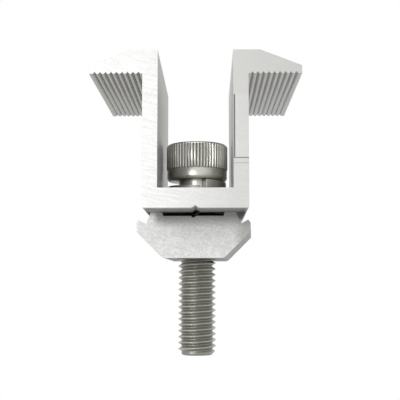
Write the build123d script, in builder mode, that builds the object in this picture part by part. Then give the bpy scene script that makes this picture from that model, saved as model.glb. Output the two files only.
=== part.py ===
"""Mid clamp for photovoltaic modules: an extruded channel with two toothed wings, held to a
mounting rail by a socket head cap screw, a spring lock washer and an extruded rail nut.

Frame: +Z along the screw axis towards its head, X across the gap between two modules, Y along the
extrusions. The origin is on the screw axis, in the plane where the clamp body meets the rail nut.
All lengths are in millimetres and all angles in degrees.
"""

import os
from math import radians, tan

from build123d import *

# socket head cap screw, M8; its thread sets every bore it runs through
thread_diameter = 8.0
screw_length = 37.0
screw_point_chamfer = 0.9
head_diameter = 13.0
head_height = 8.0
knurl_swell = 0.25
knurl_tooth_count = 60
knurl_tooth_depth = 0.22
collar_height = 2.4
head_top_chamfer = 0.45
collar_edge_radius = 0.6
hexagon_across_flats = 6.0
hexagon_depth = 4.0
drill_point_angle = 118.0

# spring lock washer for cap screws, one left-hand turn
washer_bore_play = 0.4
washer_width = 2.1
washer_thickness = 2.2
washer_rise = 1.4
washer_gap_angle = 12.0
washer_gap_bearing = -78.0
washer_seat_gap = 0.01

# clamp body, an aluminium extrusion sawn to length
body_length = 40.0
body_height = 31.3
channel_width = 14.8
leg_wall = 3.0
base_wall = 4.0
wing_reach = 10.5
wing_root_thickness = 4.8
wing_tip_thickness = 1.6
wing_flat = 2.3
screw_hole_play = 1.0
centre_mark_width = 1.6
centre_mark_depth = 0.6
foot_corner_radius = 0.5
floor_corner_radius = 0.5
wing_tip_radius = 0.6
crown_radius = 0.8

# grooves that leave the teeth under the wings
tooth_pitch = 1.08
groove_width = 0.8
groove_depth = 0.42
first_groove_offset = 0.75

# rail nut, an aluminium extrusion with a hook along each side
nut_length = 22.0
nut_width = 23.2
nut_height = 9.25
nut_turn = 3.0
land_width = 17.4
relief_width = 12.7
relief_depth = 0.7
relief_draft = 0.15
nut_mark_width = 1.1
nut_mark_depth = 0.45
valley_width = 19.4
valley_depth = 2.3
hook_tip_inset = 0.45
hook_tip_drop = 1.5
hook_flank_top = 2.1
hook_flank_bottom = 3.9
nut_foot_radius = 1.0
thread_running_gap = 0.05

# places worked out from the sizes above
body_width = channel_width + 2 * leg_wall
wing_span = body_width + 2 * wing_reach
wing_underside = body_height - wing_root_thickness
groove_room = wing_reach - first_groove_offset - groove_width / 2 - wing_tip_radius
groove_count = int(groove_room / tooth_pitch) + 1
first_groove = body_width / 2 + first_groove_offset
screw_hole_radius = (thread_diameter + screw_hole_play) / 2

washer_bore = thread_diameter + washer_bore_play
washer_mean_radius = (washer_bore + washer_width) / 2
washer_turn = 360 - washer_gap_angle
washer_pitch = washer_rise * 360 / washer_turn
washer_low_centre = base_wall + washer_seat_gap + washer_thickness / 2

head_seat = base_wall + washer_thickness + washer_rise + 2 * washer_seat_gap
head_top = head_seat + head_height
collar_top = head_seat + collar_height
screw_point = head_seat - screw_length
knurl_radius = (head_diameter + knurl_swell) / 2
hexagon_floor = head_top - hexagon_depth
drill_point_radius = hexagon_across_flats / 2
drill_point_depth = drill_point_radius / tan(radians(drill_point_angle / 2))

nut_foot_width = nut_width - 2 * (nut_height - hook_flank_bottom)
nut_bore_radius = thread_diameter / 2 + thread_running_gap
nut_across = Vector(1, 0, 0).rotate(Axis.Z, -nut_turn)
nut_towards_front = Vector(0, -1, 0).rotate(Axis.Z, -nut_turn)
nut_plane = Plane(origin=(0, 0, 0), x_dir=nut_across, z_dir=nut_towards_front)

os.makedirs("parts", exist_ok=True)

# ------------------------------------------------------------------ one groove of the teeth
# Its flanks bulge inwards, so that the teeth between grooves have rounded crests.
with BuildSketch() as groove:
    with BuildLine():
        left_flank = RadiusArc((-groove_width / 2, 0), (0, groove_depth), -groove_width)
        RadiusArc(left_flank @ 1, (groove_width / 2, 0), -groove_width)
        Line((groove_width / 2, 0), (-groove_width / 2, 0))
    make_face()

# ------------------------------------------------------------------ clamp body
with BuildPart() as clamp_body:
    with BuildSketch(Plane.XZ) as body_section:
        with BuildLine():
            Polyline(
                (0, 0),
                (body_width / 2, 0),
                (body_width / 2, wing_underside),
                (wing_span / 2, wing_underside),
                (wing_span / 2, wing_underside + wing_tip_thickness),
                (body_width / 2 + wing_flat, body_height),
                (channel_width / 2, body_height),
                (channel_width / 2, base_wall),
                (0, base_wall),
                close=True,
            )
        make_face()
        corners = body_section.vertices()
        foot = corners.sort_by_distance((body_width / 2, 0))[0]
        floor_corner = corners.sort_by_distance((channel_width / 2, base_wall))[0]
        wing_tip = corners.group_by(Axis.X)[-1]
        crown = corners.group_by(Axis.Y)[-1]
        fillet(foot, foot_corner_radius)
        fillet(floor_corner, floor_corner_radius)
        fillet(wing_tip, wing_tip_radius)
        fillet(crown, crown_radius)
        with Locations((first_groove, wing_underside)):
            with GridLocations(tooth_pitch, 1, groove_count, 1, align=(Align.MIN, Align.CENTER)):
                add(groove.sketch, mode=Mode.SUBTRACT)
        mirror(about=Plane.YZ)
        Polygon(
            (-centre_mark_width / 2, 0),
            (0, centre_mark_depth),
            (centre_mark_width / 2, 0),
            align=None,
            mode=Mode.SUBTRACT,
        )
    extrude(amount=body_length / 2, both=True)
    with Locations((0, 0, base_wall)):
        Hole(screw_hole_radius, depth=base_wall)
clamp_body.part.label = "clamp_body"

# ------------------------------------------------------------------ rail nut
with BuildPart() as rail_nut:
    with BuildSketch(nut_plane) as nut_section:
        with BuildLine():
            Polyline(
                (0, -relief_depth),
                (relief_width / 2 - relief_draft, -relief_depth),
                (relief_width / 2, 0),
                (land_width / 2, 0),
                (valley_width / 2, -valley_depth),
                (nut_width / 2 - hook_tip_inset, -hook_tip_drop),
                (nut_width / 2, -hook_flank_top),
                (nut_width / 2, -hook_flank_bottom),
                (nut_foot_width / 2, -nut_height),
                (0, -nut_height),
                close=True,
            )
        make_face()
        foot = nut_section.vertices().sort_by_distance((nut_foot_width / 2, -nut_height))[0]
        fillet(foot, nut_foot_radius)
        mirror(about=Plane.YZ)
        Polygon(
            (-nut_mark_width / 2, -relief_depth),
            (nut_mark_width / 2, -relief_depth),
            (0, -relief_depth - nut_mark_depth),
            align=None,
            mode=Mode.SUBTRACT,
        )
    extrude(amount=nut_length / 2, both=True)
    with Locations((0, 0, 0)):
        Hole(nut_bore_radius, depth=nut_height)
rail_nut.part.label = "rail_nut"

# ------------------------------------------------------------------ cap screw
with BuildPart() as cap_screw:
    with BuildSketch(Plane.XZ) as screw_section:
        with BuildLine():
            Polyline(
                (0, screw_point),
                (thread_diameter / 2, screw_point),
                (thread_diameter / 2, head_seat),
                (head_diameter / 2, head_seat),
                (head_diameter / 2, collar_top),
                (knurl_radius, collar_top + knurl_swell / 2),
                (knurl_radius, head_top),
                (0, head_top),
                close=True,
            )
        make_face()
        corners = screw_section.vertices()
        point = corners.sort_by_distance((thread_diameter / 2, screw_point))[0]
        collar_edge = corners.sort_by_distance((head_diameter / 2, head_seat))[0]
        head_edge = corners.sort_by_distance((knurl_radius, head_top))[0]
        chamfer(point, screw_point_chamfer)
        chamfer(head_edge, head_top_chamfer)
        fillet(collar_edge, collar_edge_radius)
    revolve(axis=Axis.Z)
    with BuildSketch(Plane.XY.offset(collar_top)) as knurl:
        with PolarLocations(knurl_radius, knurl_tooth_count):
            Polygon(
                (-knurl_tooth_depth, 0),
                (knurl_tooth_depth, -knurl_tooth_depth * 2),
                (knurl_tooth_depth, knurl_tooth_depth * 2),
                align=None,
            )
    extrude(amount=head_height, mode=Mode.SUBTRACT)
    with BuildSketch(Plane.XY.offset(head_top)) as hexagon:
        RegularPolygon(hexagon_across_flats / 2, 6, major_radius=False)
    extrude(amount=-hexagon_depth, mode=Mode.SUBTRACT)
    with Locations((0, 0, hexagon_floor)):
        Cone(
            0,
            drill_point_radius,
            drill_point_depth,
            align=(Align.CENTER, Align.CENTER, Align.MAX),
            mode=Mode.SUBTRACT,
        )
cap_screw.part.label = "cap_screw"

# ------------------------------------------------------------------ lock washer
low_end_bearing = washer_gap_bearing - washer_gap_angle / 2
with BuildPart() as lock_washer:
    with BuildLine(Plane.XY.offset(washer_low_centre)) as coil:
        Helix(washer_pitch, washer_rise, washer_mean_radius, lefthand=True)
    with BuildSketch(Plane(origin=coil.line @ 0, x_dir=(1, 0, 0), z_dir=coil.line % 0)):
        Rectangle(washer_width, washer_thickness)
    sweep(is_frenet=True)
lock_washer.part = lock_washer.part.rotate(Axis.Z, low_end_bearing)
lock_washer.part.label = "lock_washer"

export_step(clamp_body.part, "parts/clamp_body.step")
export_step(rail_nut.part, "parts/rail_nut.step")
export_step(cap_screw.part, "parts/cap_screw.step")
export_step(lock_washer.part, "parts/lock_washer.step")
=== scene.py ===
"""A solar mid clamp: an extruded clamp body, a hooked rail nut, a knurled socket head cap screw with
its rolled thread, and a spring lock washer. Lengths in the constants are millimetres.
"""

from math import ceil, cos, pi, radians, sin, tau

import bmesh
import bpy
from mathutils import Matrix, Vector


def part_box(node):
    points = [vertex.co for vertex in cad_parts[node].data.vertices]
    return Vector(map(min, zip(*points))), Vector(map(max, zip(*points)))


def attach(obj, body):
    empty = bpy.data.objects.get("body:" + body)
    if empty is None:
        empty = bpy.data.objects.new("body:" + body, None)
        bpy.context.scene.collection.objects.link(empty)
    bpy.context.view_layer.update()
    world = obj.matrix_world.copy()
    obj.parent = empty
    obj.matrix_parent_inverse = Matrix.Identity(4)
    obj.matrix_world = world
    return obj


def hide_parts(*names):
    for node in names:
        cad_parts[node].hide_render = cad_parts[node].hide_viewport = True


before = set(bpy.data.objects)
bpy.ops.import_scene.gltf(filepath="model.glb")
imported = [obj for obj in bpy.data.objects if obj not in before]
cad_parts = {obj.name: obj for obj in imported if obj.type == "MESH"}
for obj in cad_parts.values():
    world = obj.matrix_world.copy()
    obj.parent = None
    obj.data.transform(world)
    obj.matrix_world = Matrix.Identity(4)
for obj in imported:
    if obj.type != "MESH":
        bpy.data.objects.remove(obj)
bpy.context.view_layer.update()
MM = 0.001

# cap screw, M8
THREAD_RADIUS = 4.0
THREAD_ROOT_RADIUS = 3.28
THREAD_PITCH = 1.25
THREAD_SEGMENTS = 72
THREAD_SMOOTH = radians(40)
THREAD_RUN_OUT = 1.0
NECK_RADIUS = 3.9
NECK_LENGTH = 2.6
POINT_CHAMFER = 0.9
COLLAR_RADIUS = 6.5
COLLAR_HEIGHT = 2.4
COLLAR_EDGE = 0.8
COLLAR_EDGE_STEPS = 5
KNURL_RADIUS = 6.62
KNURL_DEPTH = 0.22
KNURL_TEETH = 60
KNURL_FLANK = 0.42
SEGMENTS_PER_TOOTH = 6
HEAD_HEIGHT = 8.0
HEAD_CHAMFER = 0.45
SOCKET_MOUTH_RADIUS = 3.62
SOCKET_FLATS = 6.0
SOCKET_LEAD = 0.22
SOCKET_DEPTH = 4.0
DRILL_POINT_DEPTH = 1.75
HEAD_SMOOTH = radians(32)

# edges broken by the saw and the tumbling drum
BODY_EDGE = 0.12
NUT_EDGE = 0.14
WASHER_EDGE = 0.4
BROKEN_FROM = radians(35)
WELD_DISTANCE = 0.002

# the two extrusions; the nut lies turned by this much under the clamp body
BODY_HALF_LENGTH = 20.0
NUT_HALF_LENGTH = 11.0
NUT_TURN = radians(3)

# darkest and lightest grey of the drawn faces and of the sawn ends
BODY_DRAWN = (0.41, 0.59)
BODY_SAWN = (0.6, 0.94)
NUT_DRAWN = (0.28, 0.44)
NUT_SAWN = (0.7, 0.92)
SAW_TILT = radians(-14)

# the studio: each lamp has a place, a side of its square and a power in watts
LAMPS = {
    "key": ((-240, -264, 165), 128, 0.3),
    "front": ((-84, -258, 36), 70, 0.118),
    "top": ((-40, -10, 300), 200, 0.3),
}
AMBIENT_STRENGTH = 0.24
FLOOR_LEVEL = -95
FLOOR_REACH = 3000
CAMERA_PLACE = (2.985, -175.0, -15.08)
CAMERA_RISE = radians(6.13)
CAMERA_TURN = radians(0.77)
CAMERA_LENS = 72.9
CAMERA_SENSOR = 36


# ------------------------------------------------------------------ shader expressions
class Level:
    """A number that varies over a surface: expressions on it add Math nodes."""

    def __init__(self, finish, socket):
        self.finish = finish
        self.socket = socket

    def math(self, operation, *others):
        return self.finish.math(operation, self, *others)

    def __add__(self, other):
        return self.math("ADD", other)

    __radd__ = __add__

    def __sub__(self, other):
        return self.math("SUBTRACT", other)

    def __rsub__(self, other):
        return self.finish.math("SUBTRACT", other, self)

    def __mul__(self, other):
        return self.math("MULTIPLY", other)

    __rmul__ = __mul__

    def __neg__(self):
        return self * -1

    def __abs__(self):
        return self.math("ABSOLUTE")

    def above(self, edge, width):
        """0 below edge, 1 above edge + width, with a soft step between."""
        return self.finish.ramp(self, edge, edge + width)

    def band(self, low, high, soft):
        return self.above(low, soft) * (1 - self.above(high - soft, soft))


class Finish:
    """One material and the nodes of its surface."""

    def __init__(self, name):
        self.material = bpy.data.materials.new(name)
        self.material.use_nodes = True
        self.tree = self.material.node_tree
        self.tree.nodes.clear()
        self.surface = self.tree.nodes.new("ShaderNodeBsdfPrincipled")
        self.output = self.tree.nodes.new("ShaderNodeOutputMaterial")
        self.tree.links.new(self.surface.outputs["BSDF"], self.output.inputs["Surface"])
        coordinates = self.tree.nodes.new("ShaderNodeTexCoord").outputs["Object"]
        self.place = self.vector("SCALE", coordinates, scale=1 / MM)
        parts = self.node("ShaderNodeSeparateXYZ", {}, Vector=self.place)
        self.x, self.y, self.z = (Level(self, parts.outputs[name]) for name in "XYZ")

    def node(self, kind, settings, **sockets):
        made = self.tree.nodes.new(kind)
        for name, value in settings.items():
            setattr(made, name, value)
        for name, value in sockets.items():
            socket = made.inputs[int(name[1:])] if name[0] == "_" else made.inputs[name.replace("_", " ")]
            self.feed(socket, value)
        return made

    def feed(self, socket, value):
        if isinstance(value, Level):
            value = value.socket
        if isinstance(value, bpy.types.NodeSocket):
            self.tree.links.new(value, socket)
        else:
            socket.default_value = value

    def math(self, operation, *values):
        inputs = {f"_{index}": value for index, value in enumerate(values)}
        made = self.node("ShaderNodeMath", {"operation": operation}, **inputs)
        return Level(self, made.outputs[0])

    def vector(self, operation, first, second=None, scale=None):
        made = self.node("ShaderNodeVectorMath", {"operation": operation}, _0=first)
        if second is not None:
            self.feed(made.inputs[1], second)
        if scale is not None:
            self.feed(made.inputs["Scale"], scale)
        return made.outputs[0]

    def ramp(self, value, low, high):
        made = self.node(
            "ShaderNodeMapRange",
            {"interpolation_type": "SMOOTHSTEP"},
            Value=value,
            From_Min=low,
            From_Max=high,
        )
        return Level(self, made.outputs["Result"])

    def noise(self, stretch, detail=4.0, roughness=0.6, turn=(0, 0, 0), seed=0.0):
        """Noise over the surface, with stretch features per millimetre along X, Y and Z."""
        turned = self.node(
            "ShaderNodeMapping",
            {"vector_type": "POINT"},
            Vector=self.place,
            Location=(seed, seed, seed),
            Rotation=turn,
        )
        scaled = self.vector("MULTIPLY", turned.outputs[0], stretch)
        made = self.node(
            "ShaderNodeTexNoise", {}, Vector=scaled, Scale=1.0, Detail=detail, Roughness=roughness
        )
        return Level(self, made.outputs["Fac"])

    def mix(self, share, first, second):
        made = self.node("ShaderNodeMix", {"data_type": "RGBA"}, _0=share, _6=first, _7=second)
        return made.outputs[2]

    def bump(self, height, distance_mm, strength=1.0):
        made = self.node(
            "ShaderNodeBump", {}, Height=height, Distance=distance_mm * MM, Strength=strength
        )
        return made.outputs["Normal"]

    def set(self, **sockets):
        for name, value in sockets.items():
            self.feed(self.surface.inputs[name.replace("_", " ")], value)


def grey(value, warmth=0.0):
    return (value, value * (1 - warmth * 0.15), value * (1 - warmth), 1)


def contrast(level, gain):
    """Noise lies around a half: this spreads it over 0 to 1."""
    return (level - 0.5) * gain + 0.5


# ------------------------------------------------------------------ finishes
def extruded_aluminium(name, along, half_length, drawn_shades, sawn_shades, seed):
    """Mill finish with die lines along the extrusion and saw marks on its two ends.

    along is the extrusion's direction in the XY plane, as an angle from +Y towards +X.
    drawn_shades and sawn_shades are the darkest and the lightest grey of the drawn faces and
    of the sawn ends."""
    finish = Finish(name)
    run = finish.x * sin(along) + finish.y * cos(along)
    sawn = abs(run).above(half_length - 0.09, 0.06)
    across = (0, 0, along)

    die_lines = finish.noise((5.5, 0.045, 5.5), 5.0, 0.7, across, seed)
    faint_lines = finish.noise((1.1, 0.02, 1.1), 3.0, 0.6, across, seed + 3)
    clouds = finish.noise((0.12, 0.12, 0.12), 4.0, 0.6, seed=seed + 7)
    specks = finish.noise((3.2, 3.2, 3.2), 4.0, 0.8, seed=seed + 11)
    saw_marks = finish.noise((0.22, 1.0, 2.4), 5.0, 0.7, (0, SAW_TILT, along), seed + 5)
    saw_bands = finish.noise((0.06, 1.0, 0.5), 3.0, 0.6, (0, SAW_TILT, along), seed + 17)

    drawn_tone = contrast(die_lines, 0.55) * 0.35 + contrast(faint_lines, 1.2) * 0.35 + clouds * 0.3
    sawn_tone = contrast(saw_marks, 3.6) * 0.4 + contrast(specks, 3.0) * 0.35 + saw_bands * 0.25
    drawn = finish.mix(drawn_tone, *(grey(shade, 0.05) for shade in drawn_shades))
    sawn_colour = finish.mix(sawn_tone, *(grey(shade, 0.02) for shade in sawn_shades))
    colour = finish.mix(sawn, drawn, sawn_colour)
    rough = (0.36 + 0.16 * die_lines + 0.1 * clouds) * (1 - sawn) + (0.5 + 0.14 * specks) * sawn
    height = (die_lines * 0.6 + specks * 0.12) * (1 - sawn) + (saw_marks + specks * 0.8) * sawn
    return finish, colour, rough, height


def clamp_body_finish():
    finish, colour, rough, height = extruded_aluminium(
        "clamp_body_aluminium", 0.0, BODY_HALF_LENGTH, BODY_DRAWN, BODY_SAWN, 2.0
    )
    # a burnished patch on the front end of the right leg, with fine scratches along its edges
    front = (-finish.y).above(BODY_HALF_LENGTH - 0.1, 0.05)
    on_leg = front * finish.x.above(7.35, 0.1)
    beside = finish.z.band(9.9, 22.4, 0.15)
    patch = on_leg * beside
    lower_scratch = on_leg * finish.z.band(9.72, 9.98, 0.06)
    faint_scratch = on_leg * finish.z.band(8.70, 8.90, 0.06) * 0.5
    side_scratch = front * finish.x.band(7.44, 7.78, 0.08) * beside * 1.2
    # painted shade: from left to right all faces come nearer to one grey, and more so by the wings, as
    # the light falls off towards the right
    painted_shade_to_right = finish.x.above(-10, 20) * (0.68 + 0.16 * finish.z.above(6, 12))
    colour = finish.mix(painted_shade_to_right, colour, grey(0.58, 0.03))
    colour = finish.mix(patch * 0.2, colour, grey(0.6, 0.03))
    colour = finish.mix((lower_scratch + faint_scratch + side_scratch) * 0.8, colour, grey(0.12))
    # painted shade: the underside of the base is darker
    painted_underside_shade = 1 - finish.z.above(0.05, 0.2)
    colour = finish.mix(painted_underside_shade * 0.5, colour, grey(0.24, 0.05))
    finish.set(
        Base_Color=colour,
        Roughness=rough - patch * 0.1,
        Metallic=0.8,
        Normal=finish.bump(height, 0.035, 0.8),
    )
    return finish.material


def rail_nut_finish():
    finish, colour, rough, height = extruded_aluminium(
        "rail_nut_aluminium", NUT_TURN, NUT_HALF_LENGTH, NUT_DRAWN, NUT_SAWN, 31.0
    )
    pitting = finish.noise((1.7, 1.7, 1.7), 5.0, 0.8, seed=41.0)
    pits = contrast(pitting, 3.2).above(0.1, 0.7)
    colour = finish.mix((1 - pits) * 0.4, colour, grey(0.5, 0.04))
    # painted shadow of the clamp on the nut just under it, and painted shade on the right hook
    painted_clamp_shadow = finish.z.above(-3.6, 3.0) * finish.x.above(-9.0, 1.5) * 0.7
    colour = finish.mix(painted_clamp_shadow, colour, grey(0.25, 0.05))
    colour = finish.mix(finish.x.above(7.0, 3.0) * 0.6, colour, grey(0.35, 0.05))
    finish.set(
        Base_Color=colour,
        Roughness=rough + 0.05,
        Metallic=0.78,
        Normal=finish.bump(height + pits * 0.6, 0.05, 0.8),
    )
    return finish.material


def screw_finish(head_seat):
    """Bright cold formed stainless steel, with painted shade in the thread roots and between the knurls.
    """
    finish = Finish("cap_screw_stainless")
    radius = finish.math("SQRT", finish.x * finish.x + finish.y * finish.y)
    turned = finish.noise((0.5, 0.5, 9.0), 4.0, 0.65, seed=5.0)
    blotches = finish.noise((0.5, 0.5, 0.5), 4.0, 0.65, seed=9.0)
    grain = finish.noise((9.0, 9.0, 9.0), 3.0, 0.7, seed=13.0)
    threaded = 1 - finish.z.above(0.0, 0.5)
    thread_root = threaded * (1 - radius.above(THREAD_ROOT_RADIUS, 0.55))
    knurled = finish.z.above(head_seat + COLLAR_HEIGHT, 0.1)
    knurl_root = knurled * (1 - radius.above(KNURL_RADIUS - KNURL_DEPTH, KNURL_DEPTH * 0.8))
    knurl_root = knurl_root * radius.above(KNURL_RADIUS - KNURL_DEPTH * 2.5, 0.1)
    # painted shade: the thread roots and the knurl grooves are darkened
    painted_groove_shade = thread_root * 0.5 + knurl_root * 0.85

    tone = contrast(turned, 1.2) * 0.5 + blotches * 0.5
    steel = finish.mix(tone, grey(0.48, 0.09), grey(0.72, 0.08))
    dulled = finish.mix(threaded * 0.55, steel, grey(0.34, 0.13))
    colour = finish.mix(painted_groove_shade, dulled, grey(0.06, 0.1))
    finish.set(
        Base_Color=colour,
        Roughness=0.2 + 0.14 * blotches + 0.06 * grain + 0.08 * threaded,
        Metallic=0.95,
        Normal=finish.bump(turned * 0.7 + grain * 0.3, 0.012, 0.7),
    )
    return finish.material


def washer_finish():
    finish = Finish("lock_washer_spring_steel")
    rolled = finish.noise((0.6, 0.6, 6.0), 4.0, 0.65, seed=21.0)
    blotches = finish.noise((0.8, 0.8, 0.8), 4.0, 0.65, seed=25.0)
    tone = contrast(rolled, 1.2) * 0.5 + blotches * 0.5
    finish.set(
        Base_Color=finish.mix(tone, grey(0.3, 0.1), grey(0.52, 0.09)),
        Roughness=0.3 + 0.2 * blotches,
        Metallic=0.9,
        Normal=finish.bump(rolled, 0.02, 0.7),
    )
    return finish.material


# ------------------------------------------------------------------ meshes
def mesh_object(name, points, faces, smooth_angle):
    mesh = bpy.data.meshes.new(name)
    mesh.from_pydata([tuple(Vector(point) * MM) for point in points], [], faces)
    made = bpy.data.objects.new(name, mesh)
    bpy.context.scene.collection.objects.link(made)
    smooth(made, smooth_angle)
    return made


def smooth(piece, angle):
    """Shades faces smooth, apart from the edges that turn by more than angle."""
    mesh = piece.data
    mesh.polygons.foreach_set("use_smooth", [True] * len(mesh.polygons))
    shape = bmesh.new()
    shape.from_mesh(mesh)
    for edge in shape.edges:
        edge.smooth = edge.is_manifold and edge.calc_face_angle(0) < angle
    shape.to_mesh(mesh)
    shape.free()


def revolved(rings, segments):
    """Points and faces of a closed skin: each ring is a function of the turn, giving r and z."""
    points = []
    for ring in rings:
        for step in range(segments):
            turn = tau * step / segments
            r, z = ring(turn, step)
            points.append((r * cos(turn), r * sin(turn), z))
    faces = []
    for row in range(len(rings) - 1):
        for step in range(segments):
            after = (step + 1) % segments
            low, high = row * segments, (row + 1) * segments
            faces.append((low + step, low + after, high + after, high + step))
    return points, faces


def plain(r, z):
    return lambda turn, step: (r, z)


def knurled(r, z, depth=1.0):
    """A ring of the knurl: flat crests with a V groove between them."""

    def at(turn, step):
        phase = step % SEGMENTS_PER_TOOTH
        notch = {0: 1.0, 1: KNURL_FLANK, SEGMENTS_PER_TOOTH - 1: KNURL_FLANK}.get(phase, 0.0)
        return r - KNURL_DEPTH * depth * notch, z

    return at


def hexagonal(flats, z):
    """A ring on a hexagon's sides."""

    def at(turn, step):
        off_side = (turn % (pi / 3)) - pi / 6
        return flats / 2 / cos(off_side), z

    return at


def screw_head(head_seat):
    """The head from its seat, up the collar and the knurl, and down into the hexagon socket."""
    top = head_seat + HEAD_HEIGHT
    collar_top = head_seat + COLLAR_HEIGHT
    rings = [plain(NECK_RADIUS - 0.3, head_seat), plain(COLLAR_RADIUS - COLLAR_EDGE, head_seat)]
    for step in range(1, COLLAR_EDGE_STEPS + 1):
        turn = pi / 2 * step / COLLAR_EDGE_STEPS
        rings.append(
            plain(
                COLLAR_RADIUS - COLLAR_EDGE + COLLAR_EDGE * sin(turn),
                head_seat + COLLAR_EDGE - COLLAR_EDGE * cos(turn),
            )
        )
    rings += [
        plain(COLLAR_RADIUS, collar_top - 0.16),
        plain(COLLAR_RADIUS - 0.06, collar_top - 0.04),
        knurled(COLLAR_RADIUS + 0.02, collar_top + 0.06, 0.4),
        knurled(KNURL_RADIUS, collar_top + 0.26),
        knurled(KNURL_RADIUS, (collar_top + top) / 2),
        knurled(KNURL_RADIUS, top - HEAD_CHAMFER - 0.1),
        knurled(KNURL_RADIUS - 0.05, top - HEAD_CHAMFER + 0.04, 0.5),
        plain(KNURL_RADIUS - 0.12, top - HEAD_CHAMFER + 0.1),
        plain(KNURL_RADIUS - 0.36, top - 0.1),
        plain(KNURL_RADIUS - 0.55, top - 0.02),
        plain(KNURL_RADIUS - 0.8, top),
        plain(SOCKET_MOUTH_RADIUS + 0.1, top),
        plain(SOCKET_MOUTH_RADIUS, top - 0.03),
        hexagonal(SOCKET_FLATS, top - SOCKET_LEAD - 0.1),
        hexagonal(SOCKET_FLATS, top - SOCKET_DEPTH + 0.1),
        hexagonal(SOCKET_FLATS - 0.12, top - SOCKET_DEPTH),
        plain(SOCKET_FLATS / 2 - 0.1, top - SOCKET_DEPTH - 0.02),
        plain(0.6, top - SOCKET_DEPTH - DRILL_POINT_DEPTH * 0.8),
    ]
    segments = KNURL_TEETH * SEGMENTS_PER_TOOTH
    points, faces = revolved(rings, segments)
    points.append((0, 0, top - SOCKET_DEPTH - DRILL_POINT_DEPTH))
    last = (len(rings) - 1) * segments
    faces += [(last + step, last + (step + 1) % segments, len(points) - 1) for step in range(segments)]
    points.append((0, 0, head_seat))
    faces += [((step + 1) % segments, step, len(points) - 1) for step in range(segments)]
    return mesh_object("cap_screw_head", points, faces, HEAD_SMOOTH)


def thread_profile():
    """Points along one pitch: how far up the pitch, and the radius there."""
    root, crest = THREAD_ROOT_RADIUS, THREAD_RADIUS
    rise = [(0.14, root + 0.06), (0.43, crest - 0.08), (0.455, crest - 0.02), (0.48, crest)]
    fall = [(0.55, crest), (0.575, crest - 0.02), (0.6, crest - 0.08), (0.89, root + 0.06)]
    return [(0.0, root), (0.07, root + 0.01)] + rise + fall + [(0.96, root + 0.01)]


def screw_shank(head_seat, point):
    """The rolled thread as one right-hand helix, its chamfered point and the plain neck above it."""
    neck = head_seat - NECK_LENGTH
    profile = thread_profile()
    first = point - 2 * THREAD_PITCH
    turns = ceil((neck - first) / THREAD_PITCH) + 2
    columns = turns * THREAD_SEGMENTS
    width = len(profile)
    points = []
    for column in range(columns + 1):
        turn = tau * column / THREAD_SEGMENTS
        for share, radius in profile:
            z = first + THREAD_PITCH * (column / THREAD_SEGMENTS + share)
            above_point = max(z - point, 0.0)
            radius = min(radius, THREAD_RADIUS - POINT_CHAMFER + above_point)
            to_neck = min(max((z - neck) / THREAD_RUN_OUT + 1.0, 0.0), 1.0)
            radius += (NECK_RADIUS - radius) * to_neck
            points.append((radius * cos(turn), radius * sin(turn), z))
    faces = []
    for column in range(columns):
        for row in range(width):
            here = column * width + row
            if row + 1 < width:
                up, up_next = here + 1, here + width + 1
            else:
                up = (column + THREAD_SEGMENTS) * width
                up_next = up + width
            if up_next < len(points):
                faces.append((here, here + width, up_next, up))
    shank = mesh_object("cap_screw_thread", points, faces, THREAD_SMOOTH)
    shape = bmesh.new()
    shape.from_mesh(shank.data)
    for z, normal in ((point, (0, 0, -1)), (neck + 0.4, (0, 0, 1))):
        bmesh.ops.bisect_plane(
            shape,
            geom=shape.verts[:] + shape.edges[:] + shape.faces[:],
            dist=1e-8,
            plane_co=(0, 0, z * MM),
            plane_no=normal,
            clear_outer=True,
        )
    rim = [edge for edge in shape.edges if edge.is_boundary]
    upper = [edge for edge in rim if edge.verts[0].co.z > 0]
    lower = [edge for edge in rim if edge.verts[0].co.z < 0]
    bmesh.ops.holes_fill(shape, edges=lower, sides=0)
    lifted = bmesh.ops.extrude_edge_only(shape, edges=upper)["geom"]
    for vertex in (item for item in lifted if isinstance(item, bmesh.types.BMVert)):
        vertex.co.z = (head_seat + 0.02) * MM
    bmesh.ops.holes_fill(shape, edges=[edge for edge in shape.edges if edge.is_boundary], sides=0)
    bmesh.ops.recalc_face_normals(shape, faces=shape.faces[:])
    shape.to_mesh(shank.data)
    shape.free()
    smooth(shank, THREAD_SMOOTH)
    return shank


def broken_edges(node, width, material):
    """Gives a CAD node narrow rounded edges and its finish."""
    weld = node.modifiers.new("weld", "WELD")
    weld.merge_threshold = WELD_DISTANCE * MM
    bevel = node.modifiers.new("broken_edges", "BEVEL")
    bevel.width = width * MM
    bevel.segments = 2
    bevel.limit_method = "ANGLE"
    bevel.angle_limit = BROKEN_FROM
    node.data.materials.clear()
    node.data.materials.append(material)


# ------------------------------------------------------------------ the object
def make_screw():
    low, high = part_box("cap_screw")
    head_seat = high.z / MM - HEAD_HEIGHT
    material = screw_finish(head_seat)
    head = screw_head(head_seat)
    shank = screw_shank(head_seat, low.z / MM)
    for piece in (head, shank):
        piece.data.materials.append(material)
        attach(piece, "cap_screw")
        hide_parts("cap_screw")


def make_extrusions_and_washer():
    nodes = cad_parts
    broken_edges(nodes["clamp_body"], BODY_EDGE, clamp_body_finish())
    broken_edges(nodes["rail_nut"], NUT_EDGE, rail_nut_finish())
    broken_edges(nodes["lock_washer"], WASHER_EDGE, washer_finish())


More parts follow.
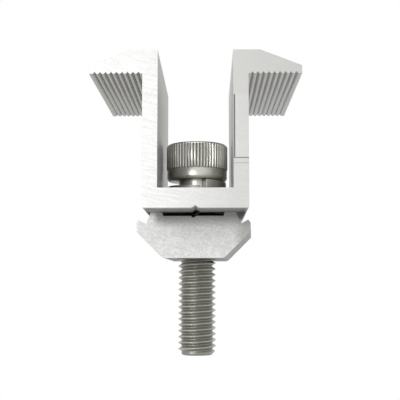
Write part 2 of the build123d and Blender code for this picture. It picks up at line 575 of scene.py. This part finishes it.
# ------------------------------------------------------------------ studio
def paper(name):
    """White paper: plain white to the camera and in reflections, with a faint shadow on it.

    From below it isn't seen, so that it never hides the object."""
    finish = Finish(name)
    finish.set(Base_Color=grey(0.9), Roughness=0.9)
    seen = finish.node("ShaderNodeLightPath", {})
    camera, glossy, through = (
        Level(finish, seen.outputs[name])
        for name in ("Is Camera Ray", "Is Glossy Ray", "Is Transmission Ray")
    )
    shown = finish.math("MINIMUM", camera + glossy + through, 1.0)
    away = finish.math("SQRT", finish.x * finish.x + finish.y * finish.y).above(60, 420)
    glow = finish.node("ShaderNodeEmission", {}, Color=grey(1.0), Strength=1.0)
    blend = finish.node(
        "ShaderNodeMixShader",
        {},
        _0=shown * (0.88 + 0.12 * away),
        _1=finish.surface.outputs["BSDF"],
        _2=glow.outputs["Emission"],
    )
    below = finish.node("ShaderNodeNewGeometry", {}).outputs["Backfacing"]
    clear = finish.node("ShaderNodeBsdfTransparent", {}).outputs["BSDF"]
    one_sided = finish.node("ShaderNodeMixShader", {}, _0=below, _1=blend.outputs[0], _2=clear)
    finish.tree.links.new(one_sided.outputs[0], finish.output.inputs["Surface"])
    return finish.material


def make_floor():
    turns = ((-1, -1), (1, -1), (1, 1), (-1, 1))
    corners = [(across * FLOOR_REACH, along * FLOOR_REACH, FLOOR_LEVEL) for across, along in turns]
    floor = mesh_object("floor", corners, [(0, 1, 2, 3)], pi)
    floor.data.materials.append(paper("white_paper"))


def make_lamp(name, place, side, power):
    """A square lamp that faces the part."""
    data = bpy.data.lights.new(name, "AREA")
    data.shape = "SQUARE"
    data.size = side * MM
    data.energy = power
    lamp = bpy.data.objects.new(name, data)
    bpy.context.scene.collection.objects.link(lamp)
    lamp.location = Vector(place) * MM
    lamp.rotation_euler = (-Vector(place)).to_track_quat("-Z", "Y").to_euler()


def make_world():
    world = bpy.data.worlds.new("studio")
    bpy.context.scene.world = world
    world.use_nodes = True
    tree = world.node_tree
    background = tree.nodes["Background"]
    seen = tree.nodes.new("ShaderNodeLightPath")
    shown = tree.nodes.new("ShaderNodeMath")
    shown.operation = "MAXIMUM"
    tree.links.new(seen.outputs["Is Camera Ray"], shown.inputs[0])
    tree.links.new(seen.outputs["Is Glossy Ray"], shown.inputs[1])
    strength = tree.nodes.new("ShaderNodeMapRange")
    strength.inputs["To Min"].default_value = AMBIENT_STRENGTH
    strength.inputs["To Max"].default_value = 1.0
    tree.links.new(shown.outputs[0], strength.inputs["Value"])
    background.inputs["Color"].default_value = (1, 1, 1, 1)
    tree.links.new(strength.outputs["Result"], background.inputs["Strength"])


def make_camera():
    data = bpy.data.cameras.new("camera")
    data.sensor_width = CAMERA_SENSOR
    data.lens = CAMERA_LENS
    data.clip_start = 0.01
    data.clip_end = 20
    camera = bpy.data.objects.new("camera", data)
    bpy.context.scene.collection.objects.link(camera)
    camera.location = Vector(CAMERA_PLACE) * MM
    camera.rotation_euler = (pi / 2 + CAMERA_RISE, 0, CAMERA_TURN)
    bpy.context.scene.camera = camera


bpy.context.scene.view_settings.view_transform = "Standard"
make_camera()
make_world()
make_floor()
for lamp_name, (place, side, power) in LAMPS.items():
    make_lamp(lamp_name, place, side, power)
make_screw()
make_extrusions_and_washer()
